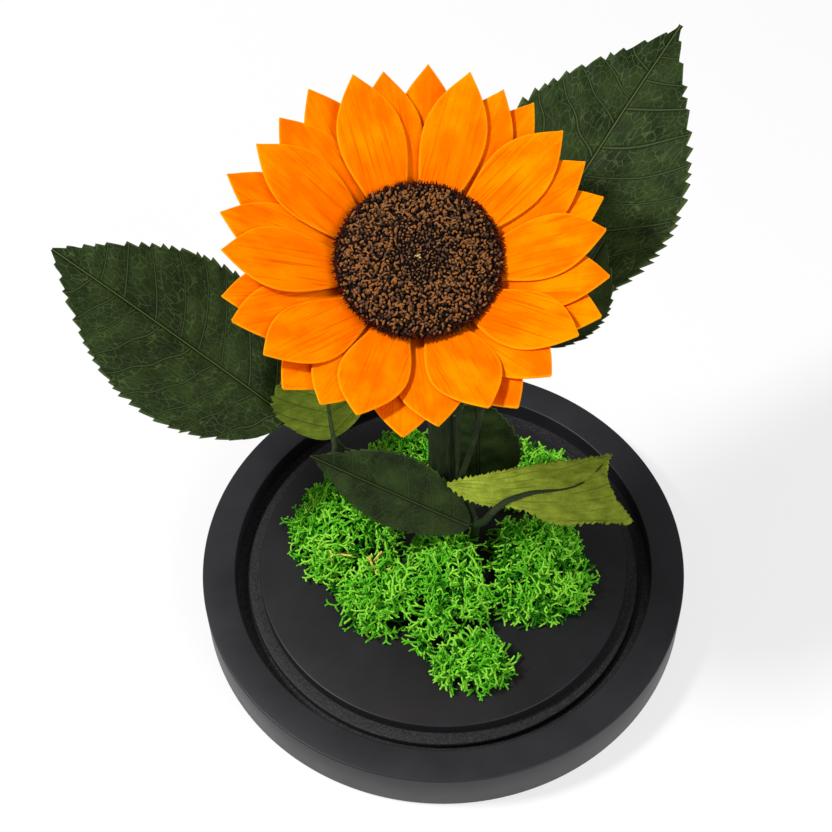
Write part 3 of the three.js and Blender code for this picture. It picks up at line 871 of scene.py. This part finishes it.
def leaf_run(leaf):
    """A leaf's base, its length, and its axes as rows."""
    base, tip = np.array(leaf["base"], float), np.array(leaf["tip"], float)
    return base, float(np.linalg.norm(tip - base)), turned_to(tip - base, leaf["facing"])


def leaf_piece(name, sides, materials, veins, rim):
    """A leaf as a piece, with a material for each side and the values that the materials read."""
    shape = blade(*sides)
    kinds = np.repeat([0, 1], len(shape[1]) // 2)
    values = {"veins": blade_values(veins), "rim": blade_values(rim)}
    piece(name + "_blade", shape, materials, (name,), kinds=kinds, values=values)


def make_leaf(name, seed, materials):
    """One serrated leaf with sunken veins above and raised ones below."""
    leaf = LEAVES[name]
    base, length, axes = leaf_run(leaf)
    rng = np.random.default_rng(seed)
    small = leaf["width"] / 50
    teeth = round(length / (TOOTH_SPACING * small**0.35))
    starts = np.append(0, np.cumsum(rng.uniform(0.55, 1.45, teeth)))
    starts /= starts[-1]
    rows = np.append((starts[:-1, None] + np.diff(starts)[:, None] * TOOTH_STEPS).ravel(), 1.0)
    even = np.linspace(-1, 1, 2 * round(leaf["width"] * LEAF_COLUMNS + 8) + 1)
    columns = even - 0.08 * np.sin(2 * math.pi * even)  # closer by the midrib and the margin
    along, across = np.meshgrid(rows, columns, indexing="ij")
    sign = np.sign(across)
    swell = np.sin(math.pi * along ** leaf["peak"]) ** (0.6 + leaf["taper"] * along)
    half = leaf["width"] / 2 * np.maximum(swell, LEAF_TIP_SHARE) * (1 + leaf["bias"] * sign)
    index = np.clip(np.searchsorted(starts, rows + 1e-9) - 1, 0, teeth - 1)[:, None]
    phase = (along - starts[index]) / np.diff(starts)[index] / TOOTH_STEPS[-1]
    phase = np.where(phase > 1.001, 0, phase)
    sizes = rng.uniform(0.35, 1.3, (2, teeth))[(sign > 0).astype(int), index]
    depth = TOOTH_DEPTH * small**0.5 * sizes * np.clip(half / 5, 0, 1) * np.clip(along * 5, 0.2, 1)
    margin = np.abs(across) ** 14
    x = along * length + margin * 0.45 * small * phase * (along < 1)
    y = across * half + sign * margin * depth * (phase - 0.6)
    order, fade = vein_order(x, y, length, leaf["veins"])
    swelling = np.sin(math.pi * order) ** 2 * np.clip(np.abs(y) / 3, 0, 1) * fade
    flat = xyz(x, y, 0)
    middle = LEAF_FOLD * np.abs(across * half) + 4 * leaf["arch"] * along * (1 - along)
    middle = middle + small * (0.6 * swelling + 0.6 * waves(flat, 30.0, seed))
    middle = middle + 0.6 * small * waves(flat, 11.0, seed + 1) * np.abs(across) ** 3
    midrib = np.exp(-((y / 0.7) ** 2))
    over = LEAF_HALF_THICKNESS - 0.2 * midrib
    under = LEAF_HALF_THICKNESS + 0.5 * midrib * (1 - 0.6 * along)
    inside = inner_part(middle)
    sides = [xyz(x, y, middle + height * inside) @ axes + base for height in (over, -under)]
    rim = np.clip((np.abs(across) - 0.965) * 20, 0, 0.5)
    leaf_piece(name, sides, materials, xyz(order, y, fade), rim)


# The curled leaf, in its own plane, runs along X from its left lobe to its drooping corner, and its
# tip stands up beside that corner.
CURLED_BASE = np.array([1.5, 6.0, 49.6])
CURLED_AXES = turned_to([0.97, -0.2, -0.09], [0, -0.43, 0.91])
CURLED_LENGTH = 56.5
CURLED_TIP = (47.0, 19.0)
CURLED_BELLY = 4.9  # how far the near edge bows out
CURLED_LOBES = 0.22  # how much of that comes and goes along the edge
CURLED_HOLLOW = 4.3  # how far the end between the tip and the corner is cut in
RIB_START = (18.0, -2.5)
RIB_SAG = 5.8
CURLED_ROWS = 130
CURLED_COLUMNS = 45
# The petiole from the twig, which climbs over the near edge of the curled leaf.
CURLED_PETIOLE = [[10.1, 0.9, 34.6], [11.5, -0.9, 38], [12.9, -2.5, 42.2], [14.6, -3.1, 46.8]]


def curled_height(x, y):
    """Height of the curled leaf's visible side over its plane: a rolled edge and soft folds."""
    folds = 0.45 * np.sin(0.85 * (y + 0.32 * x)) * np.clip((x - 16) / 16, 0, 1)
    return 1.0 - 0.016 * (y - 4) ** 2 + folds + 0.5 * np.sin(x * 0.12)


def curled_rib(share):
    """The curled leaf's midrib, from where its petiole meets it to its tip."""
    x = RIB_START[0] + (CURLED_TIP[0] - RIB_START[0]) * share
    y = RIB_START[1] + (CURLED_TIP[1] - RIB_START[1]) * share - RIB_SAG * np.sin(math.pi * share**2)
    return x, y


def make_curled_leaf(upper_side, under_side):
    """The leaf at the lower right, which lies with its pale underside up and its end drooping."""
    rng = np.random.default_rng(77)
    along = np.linspace(0, 1, CURLED_ROWS + 1)[:, None]
    across = np.linspace(0, 1, CURLED_COLUMNS)[None, :]
    lobe = 1 + CURLED_LOBES * np.cos(2 * math.pi * (along - 0.17) / 0.46)
    near_y = -CURLED_BELLY * np.maximum(np.sin(math.pi * along), 0) ** 0.4 * lobe
    x = along * (CURLED_LENGTH + (CURLED_TIP[0] - CURLED_LENGTH) * across)
    x = x - CURLED_HOLLOW * np.sin(math.pi * across) * along**7
    far_y = CURLED_TIP[1] * along**0.9
    y = near_y + (far_y - near_y) * across
    edge = np.broadcast_to(np.abs(2 * across - 1) ** 11, y.shape)
    jag = rng.uniform(-0.45, 0.45, CURLED_ROWS + 1)[:, None] + 0.3 * np.sin(along * 190)
    y = y + edge * jag * np.sign(across - 0.5)
    end_jag = rng.uniform(-0.45, 0.45, CURLED_COLUMNS)[None]
    x = x + end_jag * np.clip((along - 0.97) / 0.03, 0, 1)
    height = curled_height(x, y)
    rib_x, rib_y = curled_rib(np.linspace(0, 1, 60))
    lean = y - np.interp(x, rib_x, rib_y)
    order = across * 7 + 0.45 * np.sin(x * 0.11) + 0.2 * np.sin(x * 0.31 + 4 * across)
    shown = np.clip(0.4 + 1.6 * waves(xyz(x * 0.5, y, 0), 7.0, 79), 0, 1)
    height = height + 0.22 * waves(xyz(x * 0.4, y, 0), 5.0, 78)
    thick = LEAF_HALF_THICKNESS * inner_part(x)
    sides = [xyz(x, y, height + e * thick) @ CURLED_AXES + CURLED_BASE for e in (1, -1)]
    veins = xyz(order, lean + 9.0 * (x < RIB_START[0]), shown)
    rim = np.clip(edge - 0.3, 0, 0.5)
    node = "leaf_low_right"
    leaf_piece(node, sides, [under_side, upper_side], veins, rim)

    over = xyz(*curled_rib(np.linspace(0, 1, 9)), 0.0)
    over[:, 2] = curled_height(over[:, 0], over[:, 1]) + 0.3
    path = spline([*CURLED_PETIOLE, *(over @ CURLED_AXES + CURLED_BASE)], 100)
    radii = np.interp(np.linspace(0, 1, 101), [0, 0.3, 0.5, 0.7, 1], [1.25, 1.0, 0.7, 0.3, 0.12])
    bark = fibrous("petiole_dark_green", colour(22, 32, 18), colour(48, 62, 34), 0.6, 2600.0)
    rib = tubes(path[None], radii[None], 12)
    piece(node + "_midrib", rib, [bark], ("stalk_low_right",))


def make_inner_leaf_rib(bark):
    """The raised midrib on the pale side of leaf_left_inner, with its cut and bent petiole stub."""
    leaf = LEAVES["leaf_left_inner"]
    base, length, axes = leaf_run(leaf)
    share = np.linspace(0, 0.8, 9)
    height = 4 * leaf["arch"] * share * (1 - share) - 0.75
    along = xyz(share * length, 0, height) @ axes + base
    stub = along[0] + np.array([[-2.0, -1.9, -5.2], [-0.5, -1.9, -4.9], [0.1, -1.3, -2.8]])
    path = spline([*stub, *along], 60)
    radii = np.interp(np.linspace(0, 1, 61), [0, 0.3, 1], [0.85, 0.7, 0.15])
    piece("leaf_left_inner_midrib", tubes(path[None], radii[None], 10), [bark])


def make_leaves():
    """Every leaf, with clearer veins on the large ones and the pale side of two of them to the front. The
    faint copy on the leaves that lie in shade and the darker olive underside of leaf_left_inner are painted
    shade.
    """
    clear = leaf_upper("leaf_dark_green", 1.0)
    # The faint copy tones down the veins, net and midrib. It is painted shade for the leaves that lie in
    # shade.
    faint = leaf_upper("leaf_dark_green_painted_shade", 0.35)
    green = leaf_under("leaf_grey_green_under", colour(92, 108, 56), colour(66, 82, 38), colour(112, 128, 74))
    olive = leaf_under("leaf_olive_under", colour(152, 168, 54), colour(112, 128, 32), colour(56, 68, 14))
    # A darker copy of the olive underside: painted shade for leaf_left_inner, which lies in the bloom's
    # shade.
    olive_in_painted_shade = leaf_under("leaf_olive_under_painted_shade", colour(106, 124, 34), colour(76, 92, 20), colour(36, 48, 10))
    for seed, (name, leaf) in enumerate(LEAVES.items(), start=200):
        shows_underside = name == "leaf_left_inner"
        above = clear if leaf["lines"] == 1.0 else faint
        below = olive_in_painted_shade if shows_underside else green
        make_leaf(name, seed, [above, below])
    make_curled_leaf(clear, olive)
    make_inner_leaf_rib(fibrous("inner_rib_green", colour(26, 38, 18), colour(56, 70, 34), 0.6, 2600.0))


# ---- moss

MOSS = [
    "moss_right", "moss_left", "moss_front_left", "moss_front", "moss_front_tip",
    "moss_back_left", "moss_back_right",
]
TUFT_AREA = 10.0  # surface for each tuft, in square millimetres
TUFT_DEPTH = 6.6
TUFT_TRUNK = {"length": 2.4, "thick": (0.44, 0.4), "steps": 3}
CORE_SHARE = 0.64
VALLEY = 3.0  # how far tufts keep from the neighbouring cushion
TUFT_LEVELS = [
    # Strands forked from each end. spread is how wide the fork opens, flat how much it turns aside
    # from the way out of the cushion, stray how uneven it is, and the rest shapes each strand.
    {
        "forks": 3, "spread": 0.9, "flat": 0.25, "stray": 0.3,
        "length": 2.9, "thick": (0.4, 0.36), "steps": 5,
    },
    {
        "forks": 2, "spread": 0.8, "flat": 0.35, "stray": 0.3,
        "length": 2.5, "thick": (0.36, 0.33), "steps": 5,
    },
    {
        "forks": 2, "spread": 0.75, "flat": 0.3, "stray": 0.25,
        "length": 1.6, "thick": (0.33, 0.27), "steps": 4,
    },
]
SET_OFF = 0.35  # how far along its old way a strand goes before it turns, as a share of its length
TUFT_SIDES = 4
# DEEP is a tuft's own tone and also painted shade at every tuft's foot. CORE is the near black painted shade
# of the cores.
LIGHT, MID, DEEP, DRY, CORE = range(5)  # the shades of moss, in the order of moss_greens
DEEP_SHARE = 0.12  # of the tufts, by shade, the rest being light
MID_SHARE = 0.42
DRY_SPOT = (-26.6, -3.5)  # where the moss has dried yellow, and how far round there
DRY_REACH = 4.0


def node_triangles(name):
    """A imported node's triangles, in millimetres."""
    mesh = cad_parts[name].data
    mesh.calc_loop_triangles()
    places = np.empty(len(mesh.vertices) * 3, np.float32)
    mesh.vertices.foreach_get("co", places)
    corners = np.empty(len(mesh.loop_triangles) * 3, np.int32)
    mesh.loop_triangles.foreach_get("vertices", corners)
    return places.reshape(-1, 3).astype(float) / MM, corners.reshape(-1, 3)


def surface_spots(places, corners, others, rng):
    """Random places on a cushion's open surface, with the way out at each."""
    a, b, c = (places[corners[:, k]] for k in range(3))
    cross = np.cross(b - a, c - a)
    area = np.linalg.norm(cross, axis=1) / 2
    floor = (a[:, 2] + b[:, 2] + c[:, 2]) / 3 < PLATEAU_TOP + 0.2
    area = np.where(floor, 0, area)
    count = int(area.sum() / TUFT_AREA)
    chosen = rng.choice(len(area), count, p=area / area.sum())
    u, v = rng.uniform(size=(2, count))
    over = u + v > 1
    u, v = np.where(over, 1 - u, u), np.where(over, 1 - v, v)
    spots = a[chosen] + (b - a)[chosen] * u[:, None] + (c - a)[chosen] * v[:, None]
    out = unit(cross[chosen])
    free = [all(tree.find_nearest(Vector(p))[3] > VALLEY for tree in others) for p in spots]
    return spots[free], out[free]


def strands(start, before, way, level, rng):
    """Strands that set off along before and curve round to way: the tubes, their ends and last ways."""
    count = len(start)
    reach = level["length"] * rng.uniform(0.75, 1.25, (count, 1, 1))
    shares = np.linspace(0, 1, level["steps"])[:, None]
    setting_off = 2 * shares * (1 - shares) * before[:, None] * SET_OFF
    paths = start[:, None] + (setting_off + shares**2 * way[:, None]) * reach
    paths += (shares - shares**2) * way[:, None] * reach * (1 - SET_OFF)
    radii = np.linspace(*level["thick"], level["steps"]) * rng.uniform(0.85, 1.15, (count, 1))
    paths[..., 2] = np.maximum(paths[..., 2], PLATEAU_TOP + radii)
    return tubes(paths, radii, TUFT_SIDES), paths[:, -1], unit(way - before * SET_OFF)


def forked(end, before, out, level, rng):
    """The strands that each end forks into, evenly round its way: starts, first ways and new ways."""
    count, forks = len(end), level["forks"]
    side = unit(np.cross(before, rng.normal(size=(count, 3))))
    other = np.cross(before, side)
    turns = (2 * math.pi * np.arange(forks) / forks)[:, None]
    aside = side[:, None] * np.cos(turns) + other[:, None] * np.sin(turns)
    stray = rng.normal(size=(count, forks, 3)) * level["stray"]
    way = (before[:, None] + aside * level["spread"] + stray).reshape(-1, 3)
    start, before, out = (np.repeat(each, forks, axis=0) for each in (end, before, out))
    outward = (way * out).sum(axis=-1, keepdims=True)
    return start, before, unit(way - out * outward * level["flat"]), out


def make_moss(greens):
    """Each cushion as a near black core, painted shade between the strands, under tufts that fork three
    times. A tuft is of one shade, but its foot is deep green and its first strands are never light: painted
    shade deep in the cushion."""
    meshes = {name: node_triangles(name) for name in MOSS}
    trees = {
        name: BVHTree.FromPolygons(places.tolist(), corners.tolist())
        for name, (places, corners) in meshes.items()
    }
    for seed, (name, (places, corners)) in enumerate(meshes.items(), start=401):
        rng = np.random.default_rng(seed)
        others = [tree for other, tree in trees.items() if other != name]
        spots, out = surface_spots(places, corners, others, rng)
        start = spots - out * TUFT_DEPTH * rng.uniform(0.85, 1.1, (len(spots), 1))
        start[:, 2] = np.maximum(start[:, 2], PLATEAU_TOP + 0.5)
        way = unit(out + rng.normal(size=out.shape) * 0.35)
        tube, end, before = strands(start, out, way, TUFT_TRUNK, rng)
        parts = [tube]
        # Every trunk is deep green: painted shade at the foot of the tuft.
        kinds = [np.full(len(spots) * faces_of_each(TUFT_TRUNK["steps"], TUFT_SIDES), DEEP)]
        draw = rng.uniform(size=len(spots))
        shade = np.where(draw < DEEP_SHARE, DEEP, np.where(draw < DEEP_SHARE + MID_SHARE, MID, LIGHT))
        shade = np.where(np.linalg.norm(spots[:, :2] - DRY_SPOT, axis=1) < DRY_REACH, DRY, shade)
        for depth, level in enumerate(TUFT_LEVELS):
            start, before, way, out = forked(end, before, out, level, rng)
            tube, end, before = strands(start, before, way, level, rng)
            parts.append(tube)
            shade = np.repeat(shade, level["forks"])
            # The first strands are at least mid green, never light: painted shade deep in the cushion.
            shown = np.maximum(shade, MID) if depth == 0 else shade
            kinds.append(np.repeat(shown, faces_of_each(level["steps"], TUFT_SIDES)))
        kinds = np.concatenate(kinds)
        piece(name + "_strands", joined(parts), greens[:CORE], (name,), kinds=kinds)

        # The core is shrunk into the cushion and coloured near black green: painted shade between the
        # strands.
        middle = places.mean(axis=0)
        middle[2] = PLATEAU_TOP
        places = middle + (places - middle) * CORE_SHARE
        places[:, 2] = np.maximum(places[:, 2], PLATEAU_TOP + 0.05)
        faces = np.hstack([corners, np.full((len(corners), 1), -1)])
        piece(name + "_core", (places, faces), [greens[CORE]])


def moss_greens():
    """The materials of the moss, from light to deep, then the dry yellow and the core's near black painted
    shade. The deep one is also painted shade at the tufts' feet.
    """
    return [
        plain("moss_light_green", colour(142, 218, 62), 0.85),
        plain("moss_mid_green", colour(92, 184, 34), 0.9),
        plain("moss_deep_green_and_painted_shade", colour(30, 100, 12), 0.95),
        plain("moss_dry_yellow", colour(226, 214, 96), 0.85),
        plain("moss_core_painted_shade", colour(8, 30, 5), 0.95),
    ]


# ---- stage

CAMERA_PLACE = (-7.23, -294.84, 496.23)
CAMERA_TILT = math.radians(53.87)  # down from level
CAMERA_ROLL = math.radians(-1.46)
LENS = 77.8
SENSOR = 36
FLOOR_GLOW = 0.7
FLOOR_REACH = 4.0  # in metres, as the lamps' places and sizes are
LIGHT_AIM = (0, 0, 0.08)


def make_camera():
    """The camera, tilted down and rolled about its line of sight."""
    data = bpy.data.cameras.new("camera")
    data.lens = LENS
    data.sensor_width = SENSOR
    data.sensor_fit = "HORIZONTAL"
    camera = linked("camera", data)
    place = Matrix.Translation(Vector(CAMERA_PLACE) * MM)
    tilt = Matrix.Rotation(math.pi / 2 - CAMERA_TILT, 4, "X")
    camera.matrix_world = place @ tilt @ Matrix.Rotation(CAMERA_ROLL, 4, "Z")
    bpy.context.scene.camera = camera


def area_light(name, place, size, power):
    """A soft square lamp that looks at the middle of the plant."""
    data = bpy.data.lights.new(name, "AREA")
    data.shape = "SQUARE"
    data.size = size
    data.energy = power
    lamp = linked(name, data)
    lamp.location = place
    aim = Vector(LIGHT_AIM) - Vector(place)
    lamp.rotation_euler = aim.to_track_quat("-Z", "Y").to_euler()


def make_stage():
    """A white floor, a pale sky and two lamps."""
    floor_mesh = bpy.data.meshes.new("floor")
    corners = [(FLOOR_REACH * x, FLOOR_REACH * y, 0) for x, y in ((-1, -1), (1, -1), (1, 1), (-1, 1))]
    floor_mesh.from_pydata(corners, [], [(0, 1, 2, 3)])
    white = Paint("floor_white", colour(140, 140, 140), 0.9, 0.0)
    white.shader.inputs["Emission Color"].default_value = (1, 1, 1, 1)
    white.shader.inputs["Emission Strength"].default_value = FLOOR_GLOW
    floor_mesh.materials.append(white.material)
    linked("floor", floor_mesh)

    world = bpy.data.worlds.new("studio")
    bpy.context.scene.world = world
    world.use_nodes = True
    sky = world.node_tree.nodes["Background"]
    sky.inputs["Color"].default_value = (1, 1, 1, 1)
    sky.inputs["Strength"].default_value = 0.3
    area_light("key", (-0.65, -0.05, 1.05), 0.18, 13.0)
    area_light("fill", (0.8, -0.9, 0.8), 0.8, 9.0)
    bpy.context.scene.view_settings.view_transform = "Standard"


# ---- the whole

make_camera()
make_stage()
make_base()
felt = petal_felt()
for row in range(len(LAYERS)):
    for k in range(PETALS_PER_LAYER):
        make_petal(row, k, felt)
make_disc()
make_calyx()
make_stem_and_stalks()
make_leaves()
make_moss(moss_greens())
